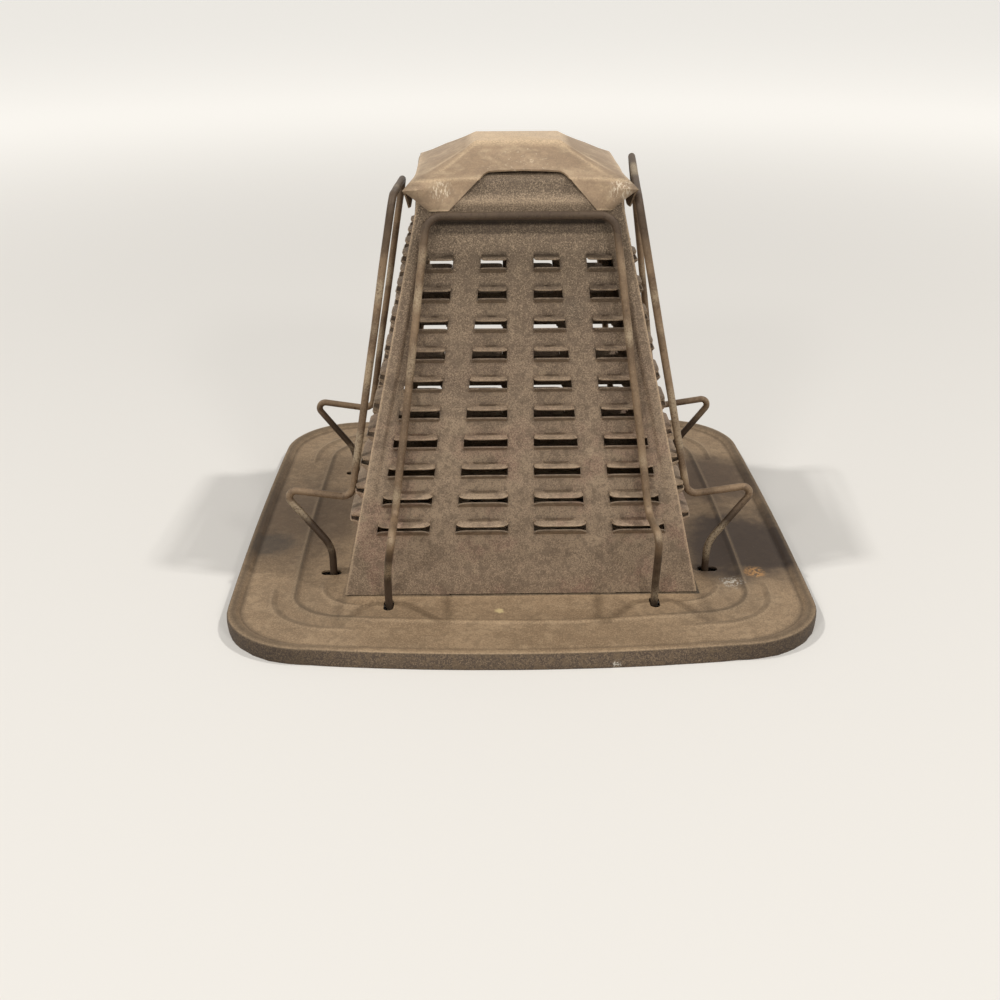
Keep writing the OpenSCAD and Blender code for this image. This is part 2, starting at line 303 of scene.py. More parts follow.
# %% [markdown]
# ## Aged tinplate
#
# Tinned sheet that has stood over a flame for years turns a dull grey-brown.
# Its grain is a fine speckle, with larger cloudy stains of reddish brown, soot
# and painted shade in the creases, and bare bright metal where folds and cut
# edges are rubbed, with painted highlights where they face the light. One
# function paints this from clouds of noise, and takes two lists for what only
# one piece has: stains, which lie under the speckle, and marks, such as chips
# and painted shadows, which lie over it; the stains also hold painted light and
# shade. Vertex attributes carry what depends on the form: wear together with
# painted highlights on edges, soot together with painted shade in corners,
# creases and under things, and the pan's dark skirt.

# %% Tinplate finish
def times(tone, factor):
    """A colour made darker or lighter."""
    return tuple(min(1.0, factor * level) for level in tone[:3]) + (1.0,)


def tinplate(paint, base, stain, pale, dullness, grain_size, grain_depth, speckle, stains, marks=()):
    """Aged tin: clouds, stains and painted light under the speckle, single marks and painted shadows over it,
    soot with painted shade, and rubbed edges with painted highlights.
    """
    grain = paint.noise(grain_size, 3.0, 0.7)
    fine = paint.noise(grain_size * 0.55, 2.0, 0.6, shift=3.1)
    cloud = paint.noise(30, 4.0, 0.6, shift=7.7)
    patch = paint.noise(8, 5.0, 0.65, shift=1.3)
    mottle = paint.noise(2.6, 4.0, 0.65, shift=8.8)
    streak = paint.noise(5, 3.0, 0.5, (1, 1, 0.15), 5.2)
    scratch = paint.noise(4, 2.0, 0.5, (7.0, 7.0, 0.3), 2.2).between(0.72, 0.78)
    wear_and_highlight = paint.attribute("wear_and_highlight")
    soot_and_shade = paint.attribute("soot_and_shade")
    tone = paint.mix(cloud.between(0.38, 0.64), base, stain)
    tone = paint.mix(patch.between(0.48, 0.66) * 0.55, tone, pale)
    for mask, strength, mark in stains:
        tone = paint.mix(mask * strength, tone, mark)
    tone = paint.mix(grain.between(0.47, 0.62) * (0.7 * speckle), tone, times(pale, 1.1))
    tone = paint.mix((1 - grain.between(0.34, 0.48)) * (0.55 * speckle), tone, times(base, 0.45))
    tone = paint.mix(fine.between(0.56, 0.68) * (0.5 * speckle), tone, times(pale, 1.5))
    tone = paint.mix(mottle.between(0.48, 0.62) * 0.55, tone, times(base, 0.68))
    tone = paint.mix(streak.between(0.55, 0.8) * 0.18, tone, times(base, 0.5))
    for mask, strength, mark in marks:
        tone = paint.mix(mask * strength, tone, mark)
    # Soot together with painted shade, from the vertex attribute that carries both.
    tone = paint.mix(soot_and_shade * (0.7 + 0.5 * patch), tone, colour(34, 25, 18))
    # Bare rubbed metal together with painted highlights, from the vertex attribute that carries both, plus
    # scratches.
    rubbed_and_highlight = wear_and_highlight * (0.5 + 0.7 * grain.between(0.35, 0.6)) + scratch * 0.18
    tone = paint.mix(rubbed_and_highlight.math("MINIMUM", 1.0), tone, times(pale, 1.75))
    rough = dullness + 0.16 * grain + 0.14 * soot_and_shade - 0.14 * wear_and_highlight
    paint.bump(grain + 0.5 * fine + 0.6 * patch, grain_depth)
    return paint.finish(tone, rough, 0.25)

# %% Finish of the walls
wall_paint = Paint("wall_tin")
# Painted shade darkens the upper wall, which the cap's overhang shades, and painted light brightens the lower
# wall (low_down); at_foot darkens the wall's foot.
high_up_painted_shade = wall_paint.past("Z", 90, 135)
low_down = 1 - wall_paint.past("Z", 35, 95)
at_foot = 1 - wall_paint.past("Z", 16, 27)
smudge = wall_paint.spot((18, -43, 104), 7)
pink = wall_paint.noise(17, 3.0, 0.6, shift=11.0).between(0.48, 0.62)
bruise = wall_paint.noise(11, 4.0, 0.65, shift=14.0).between(0.54, 0.64)
wall_tin = tinplate(
    wall_paint, colour(128, 109, 90), colour(115, 96, 80), colour(160, 140, 116),
    dullness=0.6, grain_size=0.5, grain_depth=0.05, speckle=1.1,
    stains=(
        (high_up_painted_shade, 0.85, colour(88, 74, 58)),
        (low_down, 0.4, colour(174, 152, 127)),
        (at_foot, 0.4, colour(108, 90, 74)),
        (low_down * pink, 0.5, colour(140, 104, 91)),
        (bruise, 0.3, colour(92, 76, 62)),
        (smudge, 0.45, colour(66, 57, 50)),
    ))
print("wall finish:", wall_tin.name)

# %% Finish of the pan
pan_paint = Paint("pan_tin")
# Painted shadows of the pyramid, darkening the plate on its left side and on its right side towards the front
# and the back.
left_painted_shadow = pan_paint.spot((-86, 0, 5), 44)
left_grey = pan_paint.spot((-97, -22, 5), 13)
right_painted_shadow = pan_paint.spot((86, -28, 5), 40)
far_painted_shadow = pan_paint.spot((82, 36, 5), 34)
rust_grain = pan_paint.noise(1.6, 3.0, 0.7, shift=3.0).between(0.40, 0.54)
rust = pan_paint.spot((87, -48.6, 5), 5.2) * rust_grain
sparkle_grain = pan_paint.noise(0.8, 2.0, 0.6, shift=6.5).between(0.48, 0.58)
sparkle = pan_paint.spot((77.8, -56, 5), 5.0) * sparkle_grain
fleck = pan_paint.spot((-8, -75, 5), 2.0)
crust = pan_paint.noise(24, 5.0, 0.7, shift=15.0).between(0.50, 0.62)
# Painted light: the plate's middle under the pyramid is made paler so that it shows lit through the slots.
heart_painted_light = pan_paint.spot((0, 0, 5), 62)
skirt = pan_paint.attribute("skirt")
chip_grain = pan_paint.noise(0.5, 2.0, 0.6, shift=8.0).between(0.48, 0.56)
chip = skirt * pan_paint.spot((30.4, -104.2, 1.4), 2.0) * chip_grain
# Painted shade: a dark line in the narrow gap under the walls' feet, fainter towards the left.
foot_gap_shade = pan_paint.square_band(62.3, 64.2) * (0.3 + 0.7 * pan_paint.past("X", -52, -20))
pan_tin = tinplate(
    pan_paint, colour(145, 122, 95), colour(128, 106, 81), colour(164, 141, 112),
    dullness=0.6, grain_size=0.6, grain_depth=0.04, speckle=0.65,
    stains=(
        (crust, 0.3, colour(112, 92, 70)),
        (heart_painted_light, 0.6, colour(196, 182, 158)),
        (skirt, 0.9, colour(72, 60, 53)),
    ),
    marks=(
        (left_painted_shadow, 0.6, colour(64, 48, 35)),
        (left_grey, 0.6, colour(62, 56, 50)),
        (right_painted_shadow, 0.9, colour(48, 35, 28)),
        (far_painted_shadow, 0.72, colour(66, 49, 38)),
        (rust, 0.85, colour(178, 134, 84)),
        (sparkle, 0.8, colour(196, 190, 178)),
        (fleck, 0.85, colour(200, 180, 134)),
        (chip, 0.85, colour(212, 206, 194)),
        (foot_gap_shade, 0.9, colour(26, 20, 16)),
    ))
print("pan finish:", pan_tin.name)

# %% Finish of the cap
cap_paint = Paint("cap_tin")
cap_dull = cap_paint.noise(9, 4.0, 0.65, shift=6.0).between(0.48, 0.66)
cap_rub_grain = cap_paint.noise(1.6, 3.0, 0.7, shift=2.4).between(0.60, 0.68)
cap_rub = cap_rub_grain * cap_paint.spot((0, -26, 150), 16)
# Painted highlights: bright strokes on the creases beside the two front ears.
highlight_strokes = cap_paint.noise(1.1, 2.0, 0.6, (2.0, 2.0, 0.5), 4.6).between(0.50, 0.58)
ear_highlight_spots = cap_paint.spot((-26.1, -36.5, 143.2), 4.5) + cap_paint.spot((33.5, -36.5, 143.4), 5.0)
cap_tin = tinplate(
    cap_paint, colour(166, 141, 114), colour(148, 124, 98), colour(190, 167, 136),
    dullness=0.46, grain_size=0.62, grain_depth=0.03, speckle=0.25,
    stains=((cap_dull, 0.45, colour(132, 110, 88)),),
    marks=(
        (cap_rub, 0.6, colour(222, 204, 176)),
        (highlight_strokes * ear_highlight_spots, 0.8, colour(224, 208, 184)),
    ))
print("cap finish:", cap_tin.name)

# %% [markdown]
# ## Drawn wire
#
# The racks are steel wire, gone brown. The wire is smoother than the sheet, its
# stains run along it, and rust freckles it here and there.

# %% Wire finish
def wire_finish():
    paint = Paint("wire_steel")
    grain = paint.noise(0.6, 3.0, 0.6)
    cloud = paint.noise(12, 4.0, 0.6, shift=4.0)
    freckle = paint.noise(1.5, 3.0, 0.7, shift=9.0)
    soot_and_shade = paint.attribute("soot_and_shade")
    wear_and_highlight = paint.attribute("wear_and_highlight")
    tone = paint.mix(cloud.between(0.38, 0.62), colour(102, 82, 62), colour(134, 111, 86))
    tone = paint.mix(grain.between(0.5, 0.7) * 0.45, tone, colour(158, 136, 108))
    tone = paint.mix(freckle.between(0.56, 0.70) * 0.6, tone, colour(66, 46, 34))
    # Darkening from the attribute of soot and painted shade.
    tone = paint.mix(soot_and_shade * (0.6 + 0.5 * cloud), tone, colour(40, 28, 20))
    # Paler metal from the attribute of wear and painted highlights.
    tone = paint.mix(wear_and_highlight * grain.between(0.3, 0.55), tone, colour(188, 170, 142))
    paint.bump(grain + freckle, 0.05)
    return paint.finish(tone, 0.5 + 0.2 * grain, 0.3)


wire_steel = wire_finish()
print("wire finish:", wire_steel.name)

# %% [markdown]
# ## Turning a bmesh into a piece
#
# Every piece is shaped as a bmesh in millimetres. One function scales it to
# metres, marks its sharp edges, ties it to its CAD body, gives it its material
# slot, and hides the CAD node that it stands for. A sheet's faces are turned outwards
# before it gets its thickness, because afterwards its two sides would differ.

# %% Piece maker
def object_from(bm, name):
    """A new object in the scene whose mesh is the bmesh, which is used up."""
    mesh = bpy.data.meshes.new(name)
    bm.to_mesh(mesh)
    bm.free()
    made = bpy.data.objects.new(name, mesh)
    scene.collection.objects.link(made)
    return made


def make_piece(bm, name, material, body, node, sharp=32):
    """A finished piece from a bmesh in millimetres; edges past sharp degrees stay crisp."""
    bmesh.ops.scale(bm, vec=Vector((MM, MM, MM)), verts=bm.verts)
    for edge in bm.edges:
        edge.smooth = edge.calc_face_angle(0.0) < math.radians(sharp)
    for face in bm.faces:
        face.smooth = True
    piece = object_from(bm, name)
    piece.data.materials.append(material)
    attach(piece, body)
    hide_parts(node)
    print(name, len(piece.data.vertices), "vertices")


def thicken(bm, outward, thickness):
    """Turns a sheet's faces the way outward points, then gives it its thickness on the inside."""
    bmesh.ops.recalc_face_normals(bm, faces=bm.faces)
    bm.normal_update()
    if sum(face.normal.dot(outward) * face.calc_area() for face in bm.faces) < 0:
        bmesh.ops.reverse_faces(bm, faces=bm.faces)
    bmesh.ops.solidify(bm, geom=bm.faces[:], thickness=thickness)


def turn_about_z(bm, angle, verts):
    bmesh.ops.rotate(bm, cent=Vector(), matrix=Matrix.Rotation(angle, 3, "Z"), verts=verts)


def add_block(bm, low, high):
    """A closed block between two corners."""
    made = bmesh.ops.create_cube(bm, size=1.0)["verts"]
    bmesh.ops.scale(bm, vec=high - low, verts=made)
    bmesh.ops.translate(bm, vec=(low + high) / 2, verts=made)
    return made

# %% [markdown]
# ## The slotted walls
#
# Each wall is one stamped sheet. Its middle is pressed in as a shallow field,
# and forty slots are lanced in it: the sheet is cut along a line, and the two
# lips are pushed outwards like a little tent with open ends. The lips stand
# further apart at the ends of a slot than in its middle, and the lowest slots
# are hardly open.
#
# A boolean would leave the tents flat, so the wall starts as one grid whose
# lines follow the slots. The faces in the slits are deleted, the tents' ends
# are split from the sheet, the lines are lifted into their form, and the
# sheet is given its thickness last.

# %% Slot layout
SLOT_ROWS = 10
SLOT_FIRST = 24.7
SLOT_PITCH = 9.95
RIB_HALF = 4.6
RIB_SIDE = 9.3
SLOT_MARGIN = 7.3
SLIT_MIDDLE = (0.75, 0.85, 1.35) + (SLOT_ROWS - 3) * (1.5,)
SLIT_END = {"front": 1.7, "back": 1.7, "left": 1.0, "right": 1.0}
LIP_REACH = 3.0
LIP_RISE = 3.4
CLOSED_SHARE = {"front": 0.7, "back": 0.7, "left": 0.85, "right": 0.85}
FIELD_DROP = 1.5
FIELD_MARGIN = 4.2
FIELD_TOP = PLATE_TOP + 128.3
FIELD_TOP_SLANT = 0.72
FIELD_FADE_LOW = 22.0
FIELD_FADE_HIGH = 92.0
WALL_TOP = PLATE_TOP + 140.3
TONGUE_RISE = 3.4
TONGUE_HALF = 18.5
TONGUE_LINES = 7
SHOULDER = 139.3
HEAD_BEND = 140.5
TONGUE_BEND = 145.8
LIP_STEPS = (0.0, 0.14, 0.32, 0.52, 0.72, 0.9, 1.0)
SLOT_STEPS = (0.0, 0.03, 0.1, 0.2, 0.35, 0.5, 0.65, 0.8, 0.9, 0.97, 1.0)


def lines_up():
    """Every grid line up the slope: its distance, its slot row, and its share of the way up a lip."""
    lines = [(v, -1, 0.0) for v in (0, 0.8, 2.5, 5, 7.5, 9, 10, 11, 13.5, 16.5)]
    for row in range(SLOT_ROWS):
        middle = slope_at(PLATE_TOP + SLOT_FIRST + row * SLOT_PITCH)
        lines.append((middle - 4.0, -1, 0.0))
        lines += [(middle, row, -1 - step) for step in LIP_STEPS]
        lines += [(middle, row, 1 + step) for step in reversed(LIP_STEPS)]
        lines.append((middle + 4.0, -1, 0.0))
    top = slope_at(FIELD_TOP)
    end = slope_at(WALL_TOP)
    lines += [(top - below, -1, 0.0) for below in (7, 4.8, 4.2, 2.5, 1.7, 1.0, 0.5)]
    lines += [(top + above, -1, 0.0) for above in (0, 0.4, 1, 2.5, 4.5, 6, 7.5, 9, 10.5)]
    shares = [step / TONGUE_LINES for step in range(TONGUE_LINES + 1)]
    lines += [(lerp(end, end + TONGUE_RISE, share), -1, 0.0) for share in shares]
    return lines


def lines_across():
    """Every grid line of the right half, as (kind, share): each kind is a strip between two edges."""
    lines = [("rib", 0.0), ("rib", 0.85)]
    lines += [("inner", step) for step in SLOT_STEPS]
    lines += [("gap", share) for share in (0.1, 0.5, 0.9)]
    lines += [("outer", step) for step in SLOT_STEPS]
    lines += [("edge", inset) for inset in (6.4, 5.4, 4.9, 4.5, 4.1, 3.7, 3.3, 2.2, 1.0, 0.4, 0.0)]
    return lines


def place_across(kind, share, v):
    """Where a line of lines_across stands, at a distance up the slope."""
    half = half_at(v)
    inner_end = (RIB_HALF + half - SLOT_MARGIN - RIB_SIDE) / 2
    if kind == "rib":
        return RIB_HALF * share
    if kind == "inner":
        return lerp(RIB_HALF, inner_end, share)
    if kind == "gap":
        return lerp(inner_end, inner_end + RIB_SIDE, share)
    if kind == "outer":
        return lerp(inner_end + RIB_SIDE, half - SLOT_MARGIN, share)
    return half - share


print(len(lines_up()), "lines up and", 2 * len(lines_across()) - 1, "across a wall")

# %% Form of the plain sheet
def sheet_height(u, v, seed):
    """How far the plain sheet stands out of the wall's plane."""
    inset = half_at(v) - abs(u)
    side = smooth_step(FIELD_MARGIN - 0.8, FIELD_MARGIN + 0.8, inset)
    top = slope_at(FIELD_TOP)
    above = fall(top - 0.5, top + 0.2, v)
    slant = lerp(1.0, FIELD_TOP_SLANT, smooth_step(top - 5.5, top - 1.0, v))
    below = smooth_step(FIELD_FADE_LOW, FIELD_FADE_HIGH, v)
    height = -FIELD_DROP * side * above * below / slant
    z = WALL_FOOT + v * math.cos(LEAN)
    height += 0.5 * hump(z, SHOULDER, 2.0)
    height -= 0.2 * max(z - HEAD_BEND, 0.0) + 0.9 * max(z - TONGUE_BEND, 0.0) ** 1.3
    height -= 0.35 * fall(0.0, 0.9, inset) ** 2
    wave = noise.noise(Vector((u / 30, v / 30, seed)))
    return height + 0.22 * wave * smooth_step(0, 12, inset) * smooth_step(0, 10, v)


def lip_height(share, along):
    """Height of a lip above the sheet: share runs from its crease, 0, to the slit, 1."""
    return LIP_RISE * (1 - (1 - share) ** 1.3) * (1 - 0.18 * abs(along) ** 8)


print("lip height in the middle of a slot:", lip_height(1, 0), "mm")

# %% Marks on a wall
def sheet_painted_shade(v, inset):
    """Painted shade on the plain sheet: the bar's shadow line under the rack's bar, the shaded strip of the
    field's step below it, and the tongue in the cap's shade.
    """
    z = WALL_FOOT + v * math.cos(LEAN)
    under_bar = smooth_step(131.7, 132.3, z) * fall(133.5, 134.2, z) * smooth_step(4.5, 8, inset)
    strip = smooth_step(128.6, 129.2, z) * fall(133.5, 134.5, z) * smooth_step(3.5, 5.5, inset)
    return max(0.85 * under_bar, 0.35 * strip, 0.14 * smooth_step(140.5, 143.0, z))


def sheet_wear_and_highlight(v, inset):
    """Bare metal along the wall's side edges, and a painted highlight across its shoulder."""
    z = WALL_FOOT + v * math.cos(LEAN)
    return max(fall(0.0, 0.7, inset), 0.42 * hump(z, 139.2, 1.5) * smooth_step(8, 16, inset))


print("soot under the bar in the middle of a wall:", round(sheet_painted_shade(slope_at(133), 30), 2))

# %% Building a wall
TAB_OFFSET = 30.0
TAB_HALF = 4.0
TAB_LOW = 3.65
TAB_SHEET = 0.6
TAB_TURN = 4.0


def wall_grid(side_name, seed):
    """The wall's outer surface as a flat-standing grid: x across, y up the slope, z outward."""
    up = lines_up()
    half_lines = lines_across()
    across = [(kind, share, -1) for kind, share in reversed(half_lines[1:])]
    across += [(kind, share, 1) for kind, share in half_lines]
    edge_on = side_name in ("left", "right")
    bm = bmesh.new()
    bmesh.ops.create_grid(bm, x_segments=len(across) - 1, y_segments=len(up) - 1, size=1.0)
    column = bm.verts.layers.int.new("column")
    level = bm.verts.layers.int.new("level")
    wear_and_highlight = bm.verts.layers.float.new("wear_and_highlight")
    soot_and_shade = bm.verts.layers.float.new("soot_and_shade")
    ordered = sorted(bm.verts, key=lambda vert: (round(vert.co.y, 5), round(vert.co.x, 5)))
    for index, vert in enumerate(ordered):
        vert[level], vert[column] = divmod(index, len(across))

    def in_slot(i):
        here, following = across[i], across[i + 1]
        return here[0] in ("inner", "outer") and (here[0], here[2]) == (following[0], following[2])

    slit, lips = [], []
    for face in bm.faces:
        i = min(vert[column] for vert in face.verts)
        j = min(vert[level] for vert in face.verts)
        row, share = up[j][1], up[j][2]
        if row < 0 or not in_slot(i) or up[j + 1][1] != row:
            continue
        face.tag = True
        (slit if share == -2.0 else lips).append(face)
    split = [edge for edge in bm.edges
             if edge.verts[0][column] == edge.verts[1][column]
             and len({face.tag for face in edge.link_faces}) == 2
             and min(abs(up[vert[level]][2]) for vert in edge.verts) > 1 + CLOSED_SHARE[side_name]]
    bmesh.ops.delete(bm, geom=slit, context="FACES_ONLY")
    bmesh.ops.split_edges(bm, edges=[edge for edge in split if edge.is_valid])
    for vert in bm.verts:
        kind, share, side = across[vert[column]]
        middle, row, lip = up[vert[level]]
        along = 2 * share - 1 if kind in ("inner", "outer") else 0.0
        v = middle
        rise = 0.0
        if row >= 0:
            step = abs(lip) - 1
            slit_half = lerp(SLIT_MIDDLE[row], SLIT_END[side_name], abs(along) ** 8)
            v = middle + math.copysign(lerp(LIP_REACH, slit_half, step), lip)
            near_slot = kind in ("inner", "outer") and share in (0.0, 1.0)
            kinds = {face.tag for face in vert.link_faces}
            if kinds == {True} or (True in kinds and not near_slot):
                rise = lip_height(step, along)
                # The lower lips face down and get painted shade; the upper lips get painted shade at their
                # crease and on the top rows under the cap, and a pale slit edge.
                if lip > 0:
                    vert[wear_and_highlight] = 0.3 * smooth_step(0.9, 1.0, step)
                    vert[soot_and_shade] = 0.1 * (1 - step) + 0.35 * smooth_step(5.5, 8.5, row)
                else:
                    vert[soot_and_shade] = 0.12 + 0.3 * step
            # Painted shade in the slots' open ends.
            elif near_slot:
                vert[soot_and_shade] = 0.3 * smooth_step(0.6, 0.9, step)
            # On the side walls the painted shade is lighter, and the lips' ends get a painted highlight.
            if edge_on:
                vert[soot_and_shade] *= 0.25
                vert[wear_and_highlight] = max(vert[wear_and_highlight], 0.35 * abs(along) ** 20 * step)
        u = side * place_across(kind, share, v)
        inset = half_at(v) - abs(u)
        vert[wear_and_highlight] = max(vert[wear_and_highlight], sheet_wear_and_highlight(v, inset))
        vert[soot_and_shade] = max(vert[soot_and_shade], sheet_painted_shade(v, inset))
        vert.co = Vector((u, v, sheet_height(u, v, seed) + rise))
    return bm


def trim_top(bm):
    """Cuts the wall's top edge down to the tongue that shows in the cap's notch."""
    end = slope_at(WALL_TOP)
    above = [face for face in bm.faces
             if min(vert.co.y for vert in face.verts) > end - 0.01
             and max(abs(vert.co.x) for vert in face.verts) > TONGUE_HALF + 1.0]
    bmesh.ops.delete(bm, geom=above, context="FACES")


def build_wall(side_name, turn, seed):
    """One wall, stood up on its lean, with its two tabs bent under the pan."""
    bm = wall_grid(side_name, seed)
    trim_top(bm)
    stand = Matrix(((1, 0, 0, 0),
                    (0, math.sin(LEAN), -math.cos(LEAN), -FOOT_HALF),
                    (0, math.cos(LEAN), math.sin(LEAN), WALL_FOOT),
                    (0, 0, 0, 1)))
    bm.transform(stand)
    thicken(bm, Vector((0, -1, 0)), SHEET)
    for vert in bm.verts:
        limit = abs(vert.co.y) - 0.03
        vert.co.x = min(max(vert.co.x, -limit), limit)
    foot = -wall_half(WALL_FOOT) + 0.15
    for side in (-1, 1):
        low = Vector((side * TAB_OFFSET - TAB_HALF, foot, TAB_LOW))
        add_block(bm, low, low + Vector((2 * TAB_HALF, TAB_SHEET, WALL_FOOT - TAB_LOW + 0.3)))
        add_block(bm, low, low + Vector((2 * TAB_HALF, TAB_TURN, TAB_SHEET)))
    turn_about_z(bm, turn, bm.verts)
    make_piece(bm, "tin_wall_" + side_name, wall_tin, "frame", "wall_" + side_name)


WALL_TURNS = {"front": 0.0, "right": math.pi / 2, "back": math.pi, "left": -math.pi / 2}
for seed, (side, turn) in enumerate(WALL_TURNS.items()):
    build_wall(side, turn, 4.0 * seed + 1.7)

# %% [markdown]
# ## The pan
#
# The pan is one sheet pressed over a die: a rolled rim with a short skirt, and
# raised beads that stiffen the plate. Its outline is a square with round
# corners and slightly bowed sides, most of all in front. A ring of edges takes
# that outline and is extruded inwards again and again, one step of the pan's
# section at a time. The holes are cut last, from the finished sheet, because
# here a boolean's flat cut is what the punch left.

# %% Outline of the pan
RING_SIDE_POINTS = 26
RING_CORNER_POINTS = 14
CORNER_RADIUS = 33.0
BOWS = (4.2, 1.0, 0.5, 1.0)  # front, right, back, left
LEAST_CORNER = 8.0


def ring_points(inset):
    """The pan's outline, moved inwards: a square whose sides bow out and whose corners are round."""
    half = PAN_HALF - inset
    fade = fall(24, 40, inset)
    straight = half - max(CORNER_RADIUS - inset * 0.55, LEAST_CORNER)
    points = []
    for quarter in range(4):
        turn = Matrix.Rotation(quarter * math.pi / 2, 3, "Z")
        bow = BOWS[quarter] * fade
        next_bow = BOWS[(quarter + 1) % 4] * fade
        for step in range(RING_SIDE_POINTS):
            share = step / RING_SIDE_POINTS * 2 - 1
            points.append(turn @ Vector((share * straight, -(half - bow * share * share), 0)))
        for step in range(RING_CORNER_POINTS):
            angle = step / RING_CORNER_POINTS * math.pi / 2
            x = straight + (half - next_bow - straight) * math.sin(angle)
            y = straight + (half - bow - straight) * math.cos(angle)
            points.append(turn @ Vector((x, -y, 0)))
    return points


def corner_share(point, start):
    """0 along the sides of the pan and 1 in its corners, past start."""
    near = min(abs(point.x), abs(point.y))
    return smooth_step(start - 2, start + 4, near)


print("ring of", len(ring_points(0.0)), "points")

# %% Section of the pan
BEAD_HALF = 1.9
BEAD = (-BEAD_HALF, -1.3, -0.65, 0.0, 0.65, 1.3, BEAD_HALF)
BEAD_HEIGHT = 0.5
CORNER_BEADS_FROM = 57
BEAD_CENTRES = {"outer": 15.0, "middle": 22.5, "inner": 33.0}


def pan_section():
    """The pan's section from the skirt's lower edge inwards: (inset, height, which bead)."""
    skirt = [(0.1, 0.0), (0.0, 1.2), (0.05, 2.6), (0.15, 4.2), (0.25, 5.3), (0.42, 5.9), (0.75, 6.15)]
    rim = [(1.2, 6.2), (2.2, 6.2), (3.2, 6.05), (4.0, 5.4), (4.6, 4.95), (5.3, 4.85), (6.2, 4.95)]
    section = [(inset, height, None) for inset, height in skirt + rim]
    section += [(inset, PLATE_TOP, None) for inset in (7.5, 10.5)]
    for which, middle in BEAD_CENTRES.items():
        section += [(middle + step, PLATE_TOP, which) for step in BEAD]
    return section + [(inset, PLATE_TOP, None) for inset in (37.5, 41.0)]


def bead_share(which, point):
    """1 where a bead runs: the middle one all round, the other two in the corners only."""
    if which is None:
        return 0.0
    return 1.0 if which == "middle" else corner_share(point, CORNER_BEADS_FROM)


def bead_rise(which, inset, point):
    if which is None:
        return 0.0
    arch = math.cos(math.pi / 2 * (inset - BEAD_CENTRES[which]) / BEAD_HALF)
    return BEAD_HEIGHT * bead_share(which, point) * max(0.0, arch) ** 1.5


print(len(pan_section()), "steps in the pan's section")

# %% Marks on the pan
def pan_wear_and_highlight(which, inset, point):
    """Rubbed metal with a painted highlight on the rim's outer edge, painted highlights on the beads' crests,
    and painted light making the plate paler round the heat holes.
    """
    crest = hump(inset, BEAD_CENTRES[which] - 0.8, 0.5) * bead_share(which, point) if which else 0.0
    return max(0.3 * hump(inset, 0.95, 0.3), 0.22 * smooth_step(36, 41, inset), 0.22 * crest)


def pan_soot_and_shade(which, inset, height, point):
    """Darkening of soot and painted shade: at the skirt's foot, under the rim's roll, in the groove inside
    the rim and along the beads' shaded sides, more so on the pan's two sides, whose rim is darker too.
    """
    beside = smooth_step(0.4, 0.9, abs(point.x) / max(abs(point.y), 1.0))
    along_bead = 0.0
    if which:
        inside = hump(inset, BEAD_CENTRES[which] + 1.2, 0.5)
        band = hump(inset, BEAD_CENTRES[which], 1.5)
        darkness = 0.6 if which == "middle" else 0.36
        along_bead = bead_share(which, point) * max(darkness * band * beside, 0.3 * inside)
    under_rim = 0.35 * hump(inset, 0.42, 0.15)
    return max(under_rim, 0.3 * fall(0.0, 2.0, height), 0.5 * hump(inset, 4.7, 0.7),
               0.55 * beside * fall(2.6, 4.2, inset), along_bead)


print("soot on the rim at the side of the pan:", pan_soot_and_shade(None, 1.2, 6.2, Vector((PAN_HALF, 0, 0))))

# %% Building the pan
def next_ring(bm, ring, edges):
    """Extrudes the ring of edges once, and finds the new vertices in the old ones' order."""
    made = bmesh.ops.extrude_edge_only(bm, edges=edges)["geom"]
    fresh = {item for item in made if isinstance(item, bmesh.types.BMVert)}
    edges = [item for item in made if isinstance(item, bmesh.types.BMEdge) and fresh.issuperset(item.verts)]
    partner = {edge.other_vert(vert): vert for vert in fresh for edge in vert.link_edges}
    return [partner[vert] for vert in ring], edges


def pan_surface():
    """The pan's outer surface, without its holes, ring by ring from the skirt's edge inwards."""
    bm = bmesh.new()
    wear_and_highlight = bm.verts.layers.float.new("wear_and_highlight")
    soot_and_shade = bm.verts.layers.float.new("soot_and_shade")
    skirt = bm.verts.layers.float.new("skirt")
    bmesh.ops.create_circle(bm, segments=len(ring_points(0.0)), radius=1.0)
    ring, edges = bm.verts[:], bm.edges[:]
    for number, (inset, height, which) in enumerate(pan_section()):
        if number:
            ring, edges = next_ring(bm, ring, edges)
        for vert, point in zip(ring, ring_points(inset)):
            wave = 0.35 * noise.noise(point / 45) * smooth_step(6, 14, inset) * fall(30, 40, inset)
            pucker = 0.0
            if inset < 1.0 and height < PLATE_TOP:
                tuck = 0.25 + 0.75 * corner_share(point, 70)
                dent = 0.45 + 0.45 * noise.noise(Vector((point.x / 5, point.y / 5, height / 9)))
                pucker = tuck * dent * (1 - height / PLATE_TOP)
            place = point - point.normalized() * pucker
            place.z = height + bead_rise(which, inset, point) + wave
            vert.co = place
            vert[skirt] = fall(0.3, 0.7, inset)
            vert[wear_and_highlight] = pan_wear_and_highlight(which, inset, point)
            vert[soot_and_shade] = pan_soot_and_shade(which, inset, height, point)
    bmesh.ops.contextual_create(bm, geom=edges)
    return bm

# %% Holes of the pan
FOOT_RADIUS = 69.3
FOOT_HALVES = {"front": 47.2, "back": 47.2, "left": 45.8, "right": 45.8}
SLOT_HALF = 1.85
SLOT_IN = 2.85
SLOT_OUT = 4.66
HOLE_RADIUS = 2.75
HOLE_PITCH = 11.0
HOLES_ACROSS = 10
TAB_HOLE_OUT = 63.3
TAB_HOLE_WIDTH = 1.4
TAB_AIR = 0.3
CUT_DEPTH = 8.0


def add_drum(bm, radius, sides):
    """A round cutter through the plate at the middle of the pan."""
    return bmesh.ops.create_cone(bm, cap_ends=True, segments=sides, radius1=radius, radius2=radius,
                                 depth=CUT_DEPTH)["verts"]


